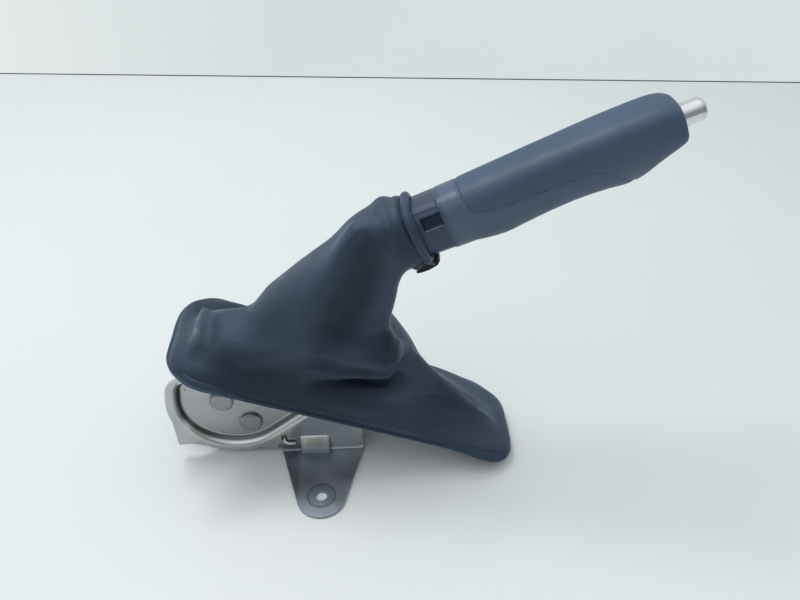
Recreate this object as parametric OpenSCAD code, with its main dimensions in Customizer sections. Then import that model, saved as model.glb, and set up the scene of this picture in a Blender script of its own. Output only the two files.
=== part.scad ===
// Parking brake lever with folded steel side plates, ratchet, gaiter and grip.
// Millimetres, +Z up, +X from the pivot towards the button, +Y away from the near foot.

/* [Mounting feet] */
// Distance between the two foot holes
foot_hole_spacing = 120; // [100:1:140]
// Diameter of each foot hole
foot_hole_d = 8.5; // [6.5:0.1:10.5]
// Half width of a foot at its bend
foot_half_width = 30; // [24:0.5:34]
// Radius of the rounded foot tip
foot_tip_r = 17.5; // [14:0.5:19]

/* [Side plates] */
// Sheet thickness of the side plates
sheet = 2.5; // [2:0.1:3]
// Gap between the lever stamping and each side plate
side_gap = 0.8; // [0.6:0.1:1.2]
// Depth of the drawn pan round the pivot
pan_depth = 6.5; // [5.5:0.1:7]
// Width of the flat rim round the pan, bend included
rim_w = 11; // [10:0.1:12]

/* [Lever] */
// Pivot position along X
pivot_x = -70; // [-74:0.5:-66]
// Pivot height
pivot_z = 51; // [49:0.5:53]
// Slope of the grip when the brake is off
grip_deg = 23.7; // [20:0.1:28]
// Width of the lever stamping
arm_w = 14.4; // [13.4:0.1:14.8]

/* [Grip and button] */
// Length of the grip cover
grip_len = 132; // [126:1:140]
// Button diameter
button_d = 14.6; // [13:0.1:15.2]
// Button travel
button_travel = 5; // [4:0.5:5]

/* [Gaiter] */
// Half width of the gaiter hem
hem_half_w = 40; // [36:0.5:44]
// Thickness of the gaiter skin
skin_t = 2; // [1.5:0.1:2.5]

/* [Hidden] */
$fn = 64;

wall_y = arm_w / 2 + side_gap + sheet + pan_depth;
web_y = wall_y - pan_depth;
pan = [[-62, 50, 35], [-6, 60, 8], [-91, 65, 4]];
bend_deg = 55;
bend_in = 3;
lip_out = 4.5;
slope_len = (pan_depth - (bend_in + lip_out) * (1 - cos(bend_deg))) / sin(bend_deg);
pan_run = (bend_in + lip_out) * sin(bend_deg) + slope_len * cos(bend_deg);
foot_bend_in = 2.5;
rivet_low = [-51.5, 29];
rivet_stop = [-28, 62];
pivot_r = 5;
sector_t = 4;
arm_sheet = 2;
web_in = web_y - sheet;
grip_o = [69.5, 190];
bend_at = -14;
neck_pt = [grip_o[0] + bend_at * cos(grip_deg), grip_o[1] + bend_at * sin(grip_deg)];
arm_deg = atan2(neck_pt[1] - pivot_z, neck_pt[0] - pivot_x);
arm_len = norm(neck_pt - [pivot_x, pivot_z]);
tube_bend = arm_deg - grip_deg;
tube_bend_r = 40;
tube_cut = tube_bend_r * tan(tube_bend / 2);
tube_w = arm_w - 2 * arm_sheet;
tube_h = 20;
tube_wall = 1.6;
tooth_r = 36;
tooth_n = 11;
tooth_pitch = 4.2;
tooth_from = 68;
pawl_pin_uw = [54, 12];
pin_r = 4;
fit = 0.05;
tooth_gap = 0.32;
pawl_tip = (tooth_r + tooth_gap) * [cos(30), sin(30)];
spring_r = 1.2;
pawl_wire_r = 0.5;
wire_gap = 0.3;
rod_u = 48.7;
cable_uw = [-22 * cos(3.5), -1.4];
grip_x0 = 30;
grip_x1 = grip_x0 + grip_len;
bush_x0 = grip_x1 - 36;
button_r = button_d / 2;
button_out = button_travel + 10.5;
button_gap = 0.4;
bush_r = button_r + 1.9;
grip_lip = 2.2;
neck_mid = -4.7;
neck_hh = 18.3;
neck_hw = 16.8;
neck_e = 2.5;
button_in = 16;
rod_r = 2.2;

// Steel and plastic colours
steel = [0.62, 0.62, 0.6];
dark = [0.2, 0.23, 0.28];

// Plane helpers

module xz(y0, y1) translate([0, y1, 0]) rotate([90, 0, 0]) linear_extrude(y1 - y0) children();
module yz(x0, x1) translate([x0, 0, 0]) rotate([90, 0, 90]) linear_extrude(x1 - x0) children();
module in_arm() translate([pivot_x, 0, pivot_z]) rotate([0, -arm_deg, 0]) children();
module in_grip() translate([grip_o[0], 0, grip_o[1]]) rotate([0, -grip_deg, 0]) children();
module both() { children(); mirror([0, 1, 0]) children(); }
module pin_y(p, r, y0, y1) translate([p[0], y1, p[1]]) rotate([90, 0, 0]) cylinder(r = r, h = y1 - y0);
module ring_y(p, ro, ri, y0, y1) xz(y0, y1) translate(p) difference() { circle(ro); circle(ri); }

// Sweeps and skins

function sgn_pow(v, e) = sign(v) * pow(abs(v), e);
function oval(n, a, b, e) = [for (i = [0 : n - 1]) let (t = 360 * i / n)
    [a * sgn_pow(cos(t), 2 / e), b * sgn_pow(sin(t), 2 / e)]];
function unit(v) = v / norm(v);
module skin(rows, shut) {
    m = len(rows);
    n = len(rows[0]);
    last = shut ? m - 1 : m - 2;
    faces = [for (i = [0 : last]) for (j = [0 : n - 1]) let (k = (j + 1) % n, h = (i + 1) % m)
        each [[i * n + j, h * n + j, h * n + k], [i * n + j, h * n + k, i * n + k]]];
    caps = shut ? [] : [[for (j = [0 : n - 1]) j], [for (j = [n - 1 : -1 : 0]) (m - 1) * n + j]];
    polyhedron([for (r = rows) each r], concat(faces, caps), convexity = 8);
}
function tangent(p, i) = unit(p[min(i + 1, len(p) - 1)] - p[max(i - 1, 0)]);
module wire(p, r, ref, sides = 8) {
    skin([for (i = [0 : len(p) - 1]) let (t = tangent(p, i), a = unit(cross(ref, t)), b = cross(t, a))
        [for (j = [0 : sides - 1]) p[i] + r * (a * cos(360 * j / sides) + b * sin(360 * j / sides))]], false);
}

// Drawn pan outline: three circles and their outer tangents

function nrm(i) = let (p = pan[i], q = pan[(i + 1) % 3], d = norm([q[0] - p[0], q[1] - p[1]]))
    atan2(q[1] - p[1], q[0] - p[0]) - 90 + asin((p[2] - q[2]) / d);
function run(i) = let (p = pan[i], q = pan[(i + 1) % 3])
    sqrt(pow(q[0] - p[0], 2) + pow(q[1] - p[1], 2) - pow(p[2] - q[2], 2));
function edge_pt(c, r, a) = [c[0] + r * cos(a), c[1] + r * sin(a)];
pan_steps = [24, 10, 8];
function pan_turn(i) = let (t = nrm(i) - nrm((i + 2) % 3)) t > 0 ? t : t + 360;
function pan_loop(d) = [for (i = [0 : 2]) for (k = [0 : pan_steps[i]])
    edge_pt(pan[i], pan[i][2] + d, nrm((i + 2) % 3) + pan_turn(i) * k / pan_steps[i])];
function pan_row(d, h) = [for (q = pan_loop(d)) [q[0], -h, q[1]]];
bend_k = [for (k = [0 : 4]) bend_deg * k / 4];
function pan_skin() = concat(
    [for (t = bend_k) [bend_in * sin(t), web_y + bend_in * (1 - cos(t))]],
    [for (k = [4 : -1 : 0]) [pan_run - lip_out * sin(bend_k[k]), wall_y - lip_out * (1 - cos(bend_k[k]))]],
    [[rim_w, wall_y], [rim_w, wall_y - sheet]],
    [for (t = bend_k) [pan_run - (lip_out - sheet) * sin(t), wall_y - lip_out + (lip_out - sheet) * cos(t)]],
    [for (k = [4 : -1 : 0]) [(bend_in + sheet) * sin(bend_k[k]), web_y + bend_in - (bend_in + sheet) * cos(bend_k[k])]]);
module drawn_pan() {
    q = pan_skin();
    skin([for (i = [len(q) - 1 : -1 : 0]) pan_row(q[i][0], q[i][1])], false);
}
function tip_angle() = let (p = [foot_half_width, foot_hole_spacing / 2 - wall_y - foot_bend_in])
    atan2(p[1], p[0]) - acos(foot_tip_r / norm(p));
module foot_outline() {
    y0 = -wall_y - foot_bend_in;
    hole_y = -foot_hole_spacing / 2;
    a = tip_angle();
    translate([0, hole_y]) circle(foot_tip_r);
    polygon([[-foot_half_width, y0], [-foot_tip_r * cos(a), hole_y + foot_tip_r * sin(a)],
        [foot_tip_r * cos(a), hole_y + foot_tip_r * sin(a)], [foot_half_width, y0]]);
}
module side_plate(head_holes) {
    difference() {
        union() {
            drawn_pan();
            xz(-wall_y, -wall_y + sheet) difference() {
                union() {
                    polygon([[-46, 7], [-38, 4.6], [-33.5, 4.6], [-33.5, 8.4], [-30, 8.4], [-30, 5], [30, 5],
                        [30, 54], [20, 68], [-4, 78], [-20, 60]]);
                    polygon([[-106.3, 36], [-106, 13], [-96, 13.4], [-80, 9], [-76, 30]]);
                }
                polygon(pan_loop(rim_w - 1.2));
            }
            yz(-foot_half_width, foot_half_width) intersection() {
                translate([-wall_y - foot_bend_in, foot_bend_in + sheet]) difference() {
                    circle(foot_bend_in + sheet);
                    circle(foot_bend_in);
                }
                translate([-wall_y - foot_bend_in, 0]) square(foot_bend_in + sheet);
            }
            linear_extrude(sheet) foot_outline();
            yz(-16, 5) polygon([[-wall_y + 1, 18], [-wall_y - 1, 16.5], [-wall_y - 5, 4.4],
                [-wall_y - 5.5, 2], [-wall_y + 1, 2]]);
        }
        translate([0, -foot_hole_spacing / 2, -1]) cylinder(d = foot_hole_d, h = sheet + 2);
        pin_y([pivot_x, pivot_z], pivot_r, -30, 0);
        pin_y(rivet_low, 4, -30, 0);
        pin_y(rivet_stop, 4, -30, 0);
        if (head_holes) {
            xz(-30, -wall_y + sheet + 1) translate([-28, 15.6]) union() {
                translate([0, 1.5]) circle(2.2);
                translate([0, -1.7]) circle(2.2);
                square([4.4, 3.2], center = true);
            }
        }
    }
}

module near_side_plate() color(steel) side_plate(true);
module far_side_plate() color(steel) mirror([0, 1, 0]) side_plate(false);

// Ratchet, rivets and pivot

function tooth_pts() = [for (i = [0 : tooth_n - 1]) let (a = tooth_from + i * tooth_pitch) each [
    [(tooth_r - 3.4) * cos(a), (tooth_r - 3.4) * sin(a)],
    [tooth_r * cos(a + 0.4), tooth_r * sin(a + 0.4)],
    [tooth_r * cos(a + 1.2), tooth_r * sin(a + 1.2)]]];
module ratchet_sector() color([0.5, 0.5, 0.5]) xz(-sector_t / 2, sector_t / 2) translate([pivot_x, pivot_z])
    difference() {
        union() {
            circle(14);
            polygon(concat([[0, 0]], [[27, 17]], tooth_pts(), [[-22, 18]]));
            for (p = [rivet_low, rivet_stop]) {
                d = p - [pivot_x, pivot_z];
                n = 7.4 * unit([-d[1], d[0]]);
                translate(d) circle(8);
                polygon([n, -n, d - n, d + n]);
            }
        }
        circle(pivot_r);
        for (p = [rivet_low, rivet_stop]) translate(p - [pivot_x, pivot_z]) circle(4);
    }
module sector_spacers() color([0.55, 0.55, 0.55]) both() {
    ring_y(rivet_low, 7, 4, -web_in, -sector_t / 2);
    ring_y(rivet_stop, 6, 4, -web_in, -sector_t / 2);
}
module headed(p, r, head_r, head_t, tail_r) {
    pin_y(p, r, -web_y - 0.5, web_y + 0.5);
    translate([p[0], -web_y, p[1]]) rotate([90, 0, 0]) {
        cylinder(r = head_r, h = head_t - 0.8);
        translate([0, 0, head_t - 0.8]) cylinder(r1 = head_r, r2 = head_r - 1.2, h = 0.8);
    }
    translate([p[0], web_y, p[1]]) rotate([-90, 0, 0]) cylinder(r1 = tail_r, r2 = tail_r - 1, h = 2.2);
}
module sector_rivets() color([0.7, 0.68, 0.64]) {
    headed(rivet_low, 4, 8, 2.6, 6.5);
    headed(rivet_stop, 4, 7, 2.4, 6.5);
}
module pivot_pin() color([0.7, 0.68, 0.64]) headed([pivot_x, pivot_z], pivot_r, 8.3, 2.8, 8);

function coil_y(c, r, y0, y1, a0, turns, n) = [for (i = [0 : n]) let (a = a0 + 360 * turns * i / n)
    [c[0] + r * cos(a), y0 + (y1 - y0) * i / n, c[1] + r * sin(a)]];
module lever_return_spring() color([0.72, 0.72, 0.7]) {
    out = wall_y + spring_r + wire_gap + 0.1;
    inn = web_in - spring_r - wire_gap;
    mid = sector_t / 2 + spring_r + wire_gap;
    coil = coil_y(rivet_low, 8.6, -inn + 0.2, -mid - 0.1, -70, 1.36, 30);
    wire(concat(
        [[-20, -out, 11.4], [-24.6, -out, 11.4], [-27, -out + 0.5, 11.9], [-28, -wall_y + 0.2, 13],
         [-28.2, -wall_y + 3, 14.2], [-28.4, -web_in - 1.2, 15.1], [-29.4, -web_in + 1, 15.6],
         [-34, -inn, 16.3], [-40, -inn + 0.1, 17.6], [-44.4, -inn + 0.1, 19.6]],
        coil,
        [[-52, -mid, 40], [-46.5, -mid, 48.4], [-42.4, -mid - 0.5, 53.6], [-41.6, -inn + 0.9, 54.5],
         [-41.4, -web_in + 1, 54.7]]), spring_r, [0.18, 0.35, 0.92]);
}

// Lever stamping, tube and inner linkage

module arm_outline() difference() {
    union() {
        circle(18);
        translate(cable_uw) circle(7);
        polygon([[-14, 11], [-22, 5.6], [-22, -8.4], [-14, -11]]);
        polygon([[0, -16.2], [60, -16.2], [95, -12.5], [128, -12.5], [128, 12.5], [95, 12.5], [70, 24],
            [46, 24], [10, 15]]);
    }
    circle(8);
    translate(pawl_pin_uw) circle(pin_r);
    translate(cable_uw) circle(pin_r);
}
module lever_arm() color([0.35, 0.36, 0.38]) in_arm() {
    both() xz(-arm_w / 2, -tube_w / 2) arm_outline();
    xz(-tube_w / 2, tube_w / 2) polygon([[73, 22.62], [95, 12.5], [128, 12.5], [128, 10], [94.4, 10], [73, 19.9]]);
}
module oblong(h, w) {
    square([h - w, w], center = true);
    for (s = [-1, 1]) translate([s * (h - w) / 2, 0]) circle(w / 2);
}
function oblong_pts(h, w, n = 6) = let (c = (h - w) / 2) concat(
    [for (i = [0 : n]) let (t = 180 * i / n) [w / 2 * cos(t), c + w / 2 * sin(t)]],
    [for (i = [0 : n]) let (t = 180 + 180 * i / n) [w / 2 * cos(t), -c + w / 2 * sin(t)]]);
function tube_row(x, tilt, h, w) = let (bx = bend_at + tube_cut)
    [for (q = oblong_pts(h, w)) to_grip([bx + x * cos(tilt) - (tube_bend_r + q[1]) * sin(tilt), q[0],
        x * sin(tilt) - tube_bend_r + (tube_bend_r + q[1]) * cos(tilt)])];
function tube_rows(h, w) = concat([tube_row(95 - arm_len + tube_cut, tube_bend, h, w)],
    [for (k = [6 : -1 : 0]) tube_row(0, tube_bend * k / 6, h, w)], [tube_row(bush_x0 - 6 - bend_at - tube_cut, 0, h, w)]);
module lever_tube() color([0.4, 0.4, 0.42]) skin(concat(tube_rows(tube_h, tube_w),
    [for (i = [8 : -1 : 0]) tube_rows(tube_h - 2 * tube_wall, tube_w - 2 * tube_wall)[i]]), true);
module pivot_bushes() color([0.75, 0.7, 0.6]) both() {
    ring_y([pivot_x, pivot_z], 8, pivot_r + fit, -web_in + 0.2, -tube_w / 2);
    ring_y([pivot_x, pivot_z], 11, pivot_r + fit, -tube_w / 2, -sector_t / 2 - 0.2);
}
module pawl_pin() color([0.7, 0.7, 0.68]) in_arm() pin_y(pawl_pin_uw, pin_r, -arm_w / 2 - side_gap / 2, arm_w / 2 + side_gap / 2);
module cable_pin() color([0.7, 0.7, 0.68]) in_arm() pin_y(cable_uw, pin_r, -arm_w / 2 - side_gap / 2, arm_w / 2 + side_gap / 2);
function boss_pts(c, r, from, to, n) = [for (i = [0 : n]) let (a = from + (to - from) * i / n) edge_pt(c, r, a)];
module pawl() color([0.45, 0.45, 0.46]) in_arm() xz(-sector_t / 2, sector_t / 2) difference() {
    polygon(concat([pawl_tip, pawl_tip + [1.55, 4.24], [42, pawl_tip[1] + 3.84]], boss_pts(pawl_pin_uw, 7.6, 80, -110, 19),
        [[rod_u - 0.2, 3], [rod_u - 0.2, -5], [44.5, -5], [43.6, 4], [43.6, 12], pawl_tip + [4.55, -2.16]]));
    translate(pawl_pin_uw) circle(pin_r + fit);
}
module pawl_spring() color([0.72, 0.72, 0.7]) in_arm() {
    y0 = -sector_t / 2 - pawl_wire_r - wire_gap;
    y1 = -tube_w / 2 + pawl_wire_r + wire_gap;
    coil_r = pin_r + pawl_wire_r + 0.6;
    wire(concat(
        [[41, y0, pawl_tip[1] + 4.44], [45.4, y0 - 0.1, 22]],
        [for (i = [0 : 22]) let (a = 63 - 333 * i / 22)
            [pawl_pin_uw[0] + coil_r * cos(a), y0 - 0.2 + (y1 - y0 + 0.2) * i / 22, pawl_pin_uw[1] + coil_r * sin(a)]],
        [[63, y1, 19.4], [73.2, y1, 19.1]]), pawl_wire_r, [0.1, 0.97, 0.2]);
}

// Grip

function ring_x(x, zt, zb, hw, e, n = 32) = [for (q = oval(n, hw, (zt - zb) / 2, e))
    [x, q[0], (zt + zb) / 2 + q[1]]];
grip_rows = [[0, 15.2, -24.5, 17, 2.5], [8, 15.3, -26, 17.3, 2.6], [18, 15.4, -27, 17.6, 2.7], [32, 15.6, -25.5, 17.6, 2.9],
    [48, 16, -23.8, 17.5, 3.1], [65, 16.3, -23, 17.5, 3.3], [82, 16.5, -24, 17.8, 3.5], [96, 16.5, -25.6, 18, 3.6],
    [104, 16.4, -24.2, 18, 3.6], [114, 16.2, -19.6, 17.8, 3.6], [122, 15.7, -16.2, 17.3, 3.5], [127, 14.4, -14.4, 16.6, 3.3],
    [130, 12.6, -13.2, 15.6, 3.1], [131.4, 11.2, -12.2, 14.4, 2.9], [132, 10, -11.2, 13.2, 2.7]];
grip_mid = -3;
function grip_ring(x, zt, zb, hw, et, n = 36) = [for (i = [0 : n - 1]) let (t = 360 * i / n, up = sin(t) > 0,
    e = up ? et : 2.4, b = up ? zt - grip_mid : grip_mid - zb)
    [x, hw * sgn_pow(cos(t), 2 / e), grip_mid + b * sgn_pow(sin(t), 2 / e)]];
module grip_body() skin([for (r = grip_rows) grip_ring(grip_x0 + r[0] * grip_len / 132, r[1], r[2], r[3], r[4])], false);
module grip_core() {
    translate([grip_x0 - 5, 0, 0]) rotate([90, 0, 90]) linear_extrude(bush_x0 - grip_x0 + 5)
        rotate(90) oblong(tube_h, tube_w);
    translate([bush_x0, 0, 0]) rotate([0, 90, 0]) cylinder(r = bush_r, h = grip_x1 - grip_lip - bush_x0);
    translate([bush_x0, 0, 0]) rotate([0, 90, 0]) cylinder(r = button_r + button_gap, h = 60);
}
module under_seam() xz(-40, 40) polygon([[29, 40], [30.4, 24], [31, 18], [32, 11], [35, 3.2], [40, 0], [48, -1.6],
    [72, -2.2], [96, -3], [108, -3.6], [113, -6], [120, -13], [130, -26], [130, -60], [29, -60]]);
module grip_cover() color(dark) in_grip() difference() { grip_body(); under_seam(); grip_core(); }
module grip_insert() color(dark * 0.85) in_grip() difference() {
    intersection() { grip_body(); under_seam(); }
    grip_core();
}
module grip_sleeve() color(dark * 0.95) in_grip() difference() {
    skin([for (r = [[-8, neck_mid + neck_hh, neck_mid - neck_hh, neck_hw], [16, 13.8, -23.4, neck_hw], [17.5, 14.8, -24.2, 17],
        [grip_x0, 15.1, -24.5, 17]])
        ring_x(r[0], r[1], r[2], r[3], 2.5)], false);
    translate([-20, 0, 0]) rotate([90, 0, 90]) linear_extrude(60) rotate(90) oblong(tube_h, tube_w);
    for (s = [-1, 1]) translate([11, s * 17, 4.6]) cube([13.5, 6.4, 7.4], center = true);
    translate([-20, -5.2, -3]) cube([17, 10.4, 3]);
}
module button_bush() color([0.12, 0.12, 0.13]) in_grip() difference() {
    translate([bush_x0, 0, 0]) rotate([0, 90, 0]) cylinder(r = bush_r, h = grip_x1 - grip_lip - bush_x0);
    translate([bush_x0 + 3, 0, 0]) rotate([0, 90, 0]) cylinder(r = button_r + 0.06, h = 60);
    translate([bush_x0 - 1, 0, 0]) rotate([0, 90, 0]) cylinder(r = rod_r + 0.1, h = 10);
}
module button() color([0.85, 0.85, 0.87]) in_grip() difference() {
    translate([grip_x1 - button_in, 0, 0]) rotate([0, 90, 0]) rotate_extrude() polygon([[0, 0], [button_r, 0],
        [button_r, button_in + button_out - 2.6], [button_r - 1.2, button_in + button_out - 1.1],
        [button_r - 3.4, button_in + button_out], [0, button_in + button_out]]);
    translate([grip_x1 - button_in - 4, 0, 0]) rotate([0, 90, 0]) cylinder(r = rod_r, h = 14);
}
function rod_pt(x, tilt) = let (bx = bend_at + tube_cut) to_grip([bx + x * cos(tilt) - tube_bend_r * sin(tilt), 0,
    x * sin(tilt) - tube_bend_r + tube_bend_r * cos(tilt)]);
module push_rod() color([0.7, 0.7, 0.68]) wire(concat([rod_pt(rod_u - arm_len + tube_cut, tube_bend)],
    [for (k = [6 : -1 : 0]) rod_pt(0, tube_bend * k / 6)], [rod_pt(grip_x1 - button_in + 10 - bend_at - tube_cut, 0)]),
    rod_r, [0, 1, 0], 20);
module button_spring() color([0.75, 0.75, 0.73]) in_grip() wire([for (i = [0 : 60]) let (a = 360 * 5 * i / 60)
    [bush_x0 + 3.8 + (grip_x1 - button_in - 0.8 - bush_x0 - 3.8) * i / 60, 5 * cos(a), 5 * sin(a)]], 0.8, [1, 0, 0], 6);

// Gaiter, its hem and its neck

hem_back = [-94.5, 104];
hem_front = [139, 9.6];
hem_along = unit(hem_front - hem_back);
boot_o = [69.5, 190];

// Each row: back x and z, front x and z, half width, roundness of the front's near and far half and of the back,
// shift of the front and of the back in y, share of the grip's own place
boot_rows = [concat(hem_back, hem_front, [hem_half_w - 1.6, 7, 7, 7, 0, 0, 0]),
    [-91.5, 107.5, 131, 16, 37.6, 2.4, 2.6, 3.6, -4, -1, 0], [-86, 110.5, 119, 28.5, 36.4, 1.5, 1.7, 3.1, -6, -2, 0.02],
    [-66, 118, 96, 54.5, 34.4, 1.3, 1.7, 2.6, -9, -2, 0.1], [-44, 127, 75.5, 80, 32.6, 1.45, 2.1, 2.4, -9, 0, 0.25],
    [-27, 142, 61, 101, 30, 1.9, 2.2, 2.3, -3, 0, 0.45], [-19, 149, 50.5, 113, 28.4, 2.2, 2.2, 2.3, 0, 0, 0.55],
    [-10, 156.5, 49.5, 122, 27, 2.3, 2.3, 2.3, 0, 0, 0.65], [11, 172, 53.5, 140, 24, 2.4, 2.4, 2.4, 0, 0, 0.85],
    [34, 193.5, 60, 157, 22, 2.5, 2.5, 2.5, 0, 0, 1]];
boot_at = [0, 1, 2, 2.5, 3, 3.25, 3.5, 3.75, 4, 4.3, 4.65, 5, 6, 7, 8, 8.5, 9];
boot_n = 48;

// Each fold: direction of its steep side, how narrow that side is, then points of x, y, z, height and width along it
boot_folds = [
    [[1, 0, 0], 0.5, [[32, -9, 188, 3.5, 7], [16, -18, 167, 3, 10], [2, -26, 140, 2, 12]]],
    [[0, 0, 0], 1, [[42, -17, 188, -3, 8], [37, -22, 173, -6, 10], [30, -24, 154, -7, 13], [20, -28, 134, -7, 15],
        [14, -31, 118, -4, 14]]],
    [[0, 0, 0], 1, [[55, -19, 176, 2, 6.5], [54, -17, 160, 4, 7], [51, -14, 142, 4.5, 7], [48, -14, 124, 5.5, 7.5],
        [47, -17, 110, 7, 8], [49, -18, 100, 6.5, 7]]],
    [[0, 0, -1], 0.5, [[12, -32, 109, 2, 9], [25, -31, 105, 4, 9], [38, -27, 99, 5, 9], [52, -19, 95, 4, 7]]],
    [[0, 0, 1], 0.7, [[-6, -35, 88, -1, 6], [11, -35, 85, -8, 6], [29, -32, 82, -10, 6], [47, -26, 77, -9, 6],
        [55, -21, 81, -5, 7]]],
    [[0, 0, 0], 1, [[-76, 19, 110, -5, 8], [-64, 19, 115, -9, 9], [-52, 16, 121, -8, 9], [-41, 9, 129, -3, 8]]],
    [[0, 0, 0], 1, [[73, 6, 78, -2, 7], [98, 3, 47, -5, 8], [113, 2, 32, -3, 8]]],
    [[0, 0, 1], 0.7, [[-30, 35, 93, -1, 7], [0, 34, 89, -5, 7], [28, 31, 84, -7, 7], [48, 25, 77, -5, 7]]],
    [[0, 0, 0], 1, [[44, 16, 186, -3, 9], [38, 22, 166, -5, 11], [30, 26, 142, -5, 13], [22, 30, 118, -2, 12]]],
    [[0, 0, -1], 0.5, [[0, 32, 106, 1.5, 9], [25, 30, 103, 4, 9], [46, 24, 95, 5, 8]]]];
function ease(a, b, v) = let (k = min(1, max(0, (v - a) / (b - a)))) k * k * (3 - 2 * k);
function row_at(t) = let (i = min(floor(t), len(boot_rows) - 2), s = t - i, a = boot_rows[max(i - 1, 0)],
    b = boot_rows[i], c = boot_rows[i + 1], d = boot_rows[min(i + 2, len(boot_rows) - 1)])
    b + s * ((c - a) / 2 + s * ((2 * a - 5 * b + 4 * c - d) / 2 + s * (3 * (b - c) + d - a) / 2));
function boot_ends(r, d) = let (m = r[10] * (grip_o - boot_o), b = [r[0], r[1]] + m, f = [r[2], r[3]] + m)
    [b + d * unit(f - b), f - d * unit(f - b)];
function above_hem(p) = let (v = [p[0], p[2]] - hem_back) v * [-hem_along[1], hem_along[0]];
function swung(p) = let (v = [p[0], p[2]] - hem_back, up = above_hem(p))
    p - [0, 6.5 * ease(195, 255, v * hem_along) * (1 - ease(5, 55, up)) * ease(0, 10, up), 0];
function boot_pt(r, t, d) = let (q = boot_ends(r, d), u = q[1] - q[0], e = t > 90 && t < 270 ? r[7] : t <= 90 ? r[6] : r[5],
    k = sgn_pow(cos(t), 2 / e), c = (q[0] + q[1]) / 2 + u * k / 2)
    swung([c[0], (r[4] - d) * sgn_pow(sin(t), 2 / e) + k * k * (k > 0 ? r[8] : r[9]), c[1]]);
function boot_ring(r, d) = [for (j = [0 : boot_n - 1]) boot_pt(r, 360 * j / boot_n, d)];
function out_of(g, i, j) = unit(cross(g[i][(j + 1) % boot_n] - g[i][(j + boot_n - 1) % boot_n],
    g[min(i + 1, len(g) - 1)][j] - g[max(i - 1, 0)][j]));
function fold_at(p, f) = let (q = f[2], near = [for (i = [0 : len(q) - 2]) let (a = q[i], v = q[i + 1] - a,
    l = [v[0], v[1], v[2]], k = min(1, max(0, (p - [a[0], a[1], a[2]]) * l / (l * l))), w = a + v * k)
    [norm(p - [w[0], w[1], w[2]]), w]], d = min([for (n = near) n[0]]), w = [for (n = near) if (n[0] == d) n[1]][0],
    side = (p - [w[0], w[1], w[2]]) * f[0] > 0 ? f[1] : 1) w[3] * exp(-pow(d / (w[4] * side), 2));
function folds(p, n = 0) = n == len(boot_folds) ? 0 : fold_at(p, boot_folds[n]) + folds(p, n + 1);
function free_at(p) = ease(0, 12, above_hem(p)) * ease(2, 14, -6 - ([p[0], p[2]] - grip_o) * [cos(grip_deg), sin(grip_deg)]);
boot_base = [for (t = boot_at) boot_ring(row_at(t), 0)];
boot_skin = [for (i = [0 : len(boot_at) - 1]) [for (j = [0 : boot_n - 1]) let (p = boot_base[i][j])
    i == 0 ? p : p + out_of(boot_base, i, j) * folds(p) * free_at(p)]];
boot_lining = [for (i = [0 : len(boot_at) - 1]) i == 0 ? boot_ring(boot_rows[0], skin_t)
    : [for (j = [0 : boot_n - 1]) boot_skin[i][j] - out_of(boot_skin, i, j) * skin_t]];
function to_grip(p) = [grip_o[0] + p[0] * cos(grip_deg) - p[2] * sin(grip_deg), p[1],
    grip_o[1] + p[0] * sin(grip_deg) + p[2] * cos(grip_deg)];
function neck_row(x, d, n = 48) = [for (q = oval(n, neck_hh + d, neck_hw + d, neck_e)) to_grip([x, q[1], neck_mid - q[0]])];
module boot() color([0.16, 0.18, 0.22]) skin(concat(boot_skin, [neck_row(-6, 3.4), neck_row(-6, 0.9)],
    [for (i = [len(boot_at) - 1 : -1 : 0]) boot_lining[i]]), true);
function neck_pt_at(x, d, t) = to_grip([x, (neck_hw + d) * sgn_pow(sin(t), 2 / neck_e),
    neck_mid - (neck_hh + d) * sgn_pow(cos(t), 2 / neck_e)]);
neck_fit = 0.4;
function thin_below(t) = let (k = min(1, max(0, (cos(t) - 0.55) / 0.25))) 1 - 0.62 * k * k * (3 - 2 * k);
module neck_ring() color([0.14, 0.16, 0.2]) skin([for (q = [[-5.7, neck_fit], [-5.7, 3.2], [-4.6, 5.4], [-2, 6.2],
    [0.8, 5.2], [2.4, 2.8], [2.6, neck_fit]]) [for (i = [0 : 47]) let (t = 7.5 * i)
        neck_pt_at(q[0], neck_fit + (q[1] - neck_fit) * thin_below(t), t)]], true);
clip_section = [[-12.5, 5.4], [-6.3, 4.1], [-5.9, 3], [3.6, 3], [4.2, 4.4], [2, 6.2], [-4, 7.2], [-9, 7.1], [-12.2, 6.5]];
module neck_clip() color([0.08, 0.08, 0.09]) skin([for (t = [-30 : 5 : 30])
    [for (q = clip_section) neck_pt_at(q[0], q[1], t)]], false);
hem_v = hem_front - hem_back;
hem_len = norm(hem_v);
hem_deg = atan2(hem_v[1], hem_v[0]);
module round_rect(l, w, r) {
    square([l, w - 2 * r], center = true);
    square([l - 2 * r, w], center = true);
    for (sx = [-1, 1]) for (sy = [-1, 1]) translate([sx * (l / 2 - r), sy * (w / 2 - r)]) circle(r);
}
module boot_hem() color([0.14, 0.16, 0.2]) {
    c = (hem_back + hem_front) / 2;
    translate([c[0], 0, c[1]]) rotate([0, -hem_deg, 0]) translate([0, 0, -7]) linear_extrude(7) difference() {
        round_rect(hem_len + 4, 2 * hem_half_w, 27);
        round_rect(hem_len - 6, 2 * hem_half_w - 8.6, 21);
    }
}

near_side_plate();
far_side_plate();
ratchet_sector();
sector_spacers();
sector_rivets();
pivot_pin();
lever_return_spring();
boot();
boot_hem();
lever_arm();
lever_tube();
pivot_bushes();
pawl_pin();
cable_pin();
pawl();
pawl_spring();
grip_sleeve();
grip_cover();
grip_insert();
button_bush();
button();
push_rod();
button_spring();
neck_ring();
neck_clip();
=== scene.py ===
import math

import bpy
import numpy as np
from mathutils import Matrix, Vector, noise


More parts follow.
